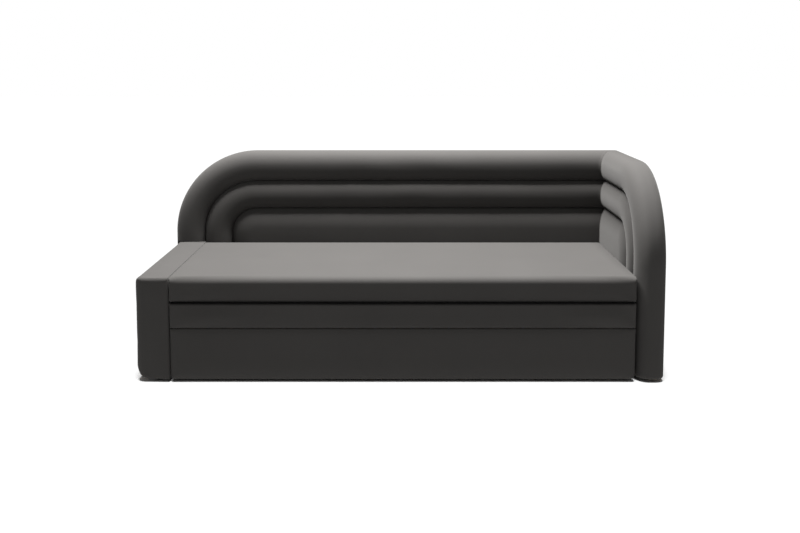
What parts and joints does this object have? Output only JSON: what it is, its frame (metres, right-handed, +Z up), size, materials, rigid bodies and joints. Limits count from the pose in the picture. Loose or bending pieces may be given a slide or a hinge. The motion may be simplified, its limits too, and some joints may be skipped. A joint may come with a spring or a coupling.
{
  "type": "daybed",
  "caption": "Corner daybed with an arched, channelled back and right side, a low left arm, a fold-over mattress and a pull-out slatted base on castors.",
  "frame": {"origin": "on the floor, at the middle of the whole bed", "axes": "+X to the right along the mattress, +Y to the back, +Z up; the front faces -Y"},
  "size_m": [2.219, 0.92, 0.89],
  "materials": {
    "fabric": "short velour, charcoal",
    "tape": "woven cloth tape",
    "chipboard": "raw chipboard",
    "hardboard": "smooth hardboard",
    "pine": "planed pine",
    "slat_wood": "sanded birch",
    "painted_steel": "matt powder coat",
    "zinc_steel": "zinc plated",
    "plastic": "moulded plastic",
    "wheel": "moulded nylon"
  },
  "bodies": {
    "frame": {"arm_bottom_battens": "pine", "arm_cover": "fabric", "arm_front_board": "chipboard", "arm_glides": "plastic", "arm_inner_board": "chipboard", "arm_outer_board": "chipboard", "arm_rear_board": "chipboard", "arm_top_board": "chipboard", "back_battens": "pine", "back_edge_strip": "hardboard", "back_front_panel": "chipboard", "back_glides": "plastic", "back_inner_pad": "fabric", "back_middle_roll": "fabric", "back_outer_roll": "fabric", "back_rear_cover": "fabric", "back_rear_panel": "chipboard", "beam_bolts": "zinc_steel", "beam_end_brackets": "painted_steel", "fixed_slat_screws": "zinc_steel", "fixed_slats": "slat_wood", "frame_bolts": "zinc_steel", "frame_nuts": "zinc_steel", "front_beam": "painted_steel", "lower_mattress": "fabric", "mattress_hinge_tape": "tape", "rear_slat_rail": "pine", "side_battens": "pine", "side_edge_strip": "hardboard", "side_glides": "plastic", "side_inner_pad": "fabric", "side_inner_panel": "chipboard", "side_middle_roll": "fabric", "side_outer_cover": "fabric", "side_outer_panel": "chipboard", "side_outer_roll": "fabric"},
    "pullout": {"drawer_front_board": "chipboard", "drawer_front_cover": "fabric", "pullout_slats": "slat_wood", "slat_stop_blocks": "plastic", "pullout_slat_screws": "zinc_steel", "left_runner": "pine", "right_runner": "pine", "rear_crossbar": "pine", "corner_blocks": "pine", "castor_forks": "zinc_steel", "castor_axles": "zinc_steel", "castor_screws": "zinc_steel"},
    "upper_mattress": {"upper_mattress": "fabric"},
    "front_left_wheel": {"front_left_wheel": "wheel"},
    "rear_left_wheel": {"rear_left_wheel": "wheel"},
    "front_right_wheel": {"front_right_wheel": "wheel"},
    "rear_right_wheel": {"rear_right_wheel": "wheel"}
  },
  "joints": [
    {"name": "pullout_slide", "type": "slide", "parent": "frame", "child": "pullout", "axis": [0, -1, 0], "range_m": [0, 0.747]},
    {"name": "mattress_flip", "type": "hinge", "parent": "frame", "child": "upper_mattress", "pos_m": [0.0115, -0.462, 0.339], "axis": [1, 0, 0], "range_deg": [0, 180], "deforming": ["mattress_hinge_tape"]},
    {"name": "front_left_wheel_spin", "type": "hinge", "parent": "pullout", "child": "front_left_wheel", "pos_m": [-0.8135, -0.35, 0.0175], "axis": [1, 0, 0], "continuous": true},
    {"name": "rear_left_wheel_spin", "type": "hinge", "parent": "pullout", "child": "rear_left_wheel", "pos_m": [-0.8135, 0.27, 0.0175], "axis": [1, 0, 0], "continuous": true},
    {"name": "front_right_wheel_spin", "type": "hinge", "parent": "pullout", "child": "front_right_wheel", "pos_m": [0.8365, -0.35, 0.0175], "axis": [1, 0, 0], "continuous": true},
    {"name": "rear_right_wheel_spin", "type": "hinge", "parent": "pullout", "child": "rear_right_wheel", "pos_m": [0.8365, 0.27, 0.0175], "axis": [1, 0, 0], "continuous": true}
  ],
  "couplings": [
    {"joint": "front_left_wheel_spin", "follows": "pullout_slide", "rad_per_m": 57.143},
    {"joint": "rear_left_wheel_spin", "follows": "pullout_slide", "rad_per_m": 57.143},
    {"joint": "front_right_wheel_spin", "follows": "pullout_slide", "rad_per_m": 57.143},
    {"joint": "rear_right_wheel_spin", "follows": "pullout_slide", "rad_per_m": 57.143}
  ]
}
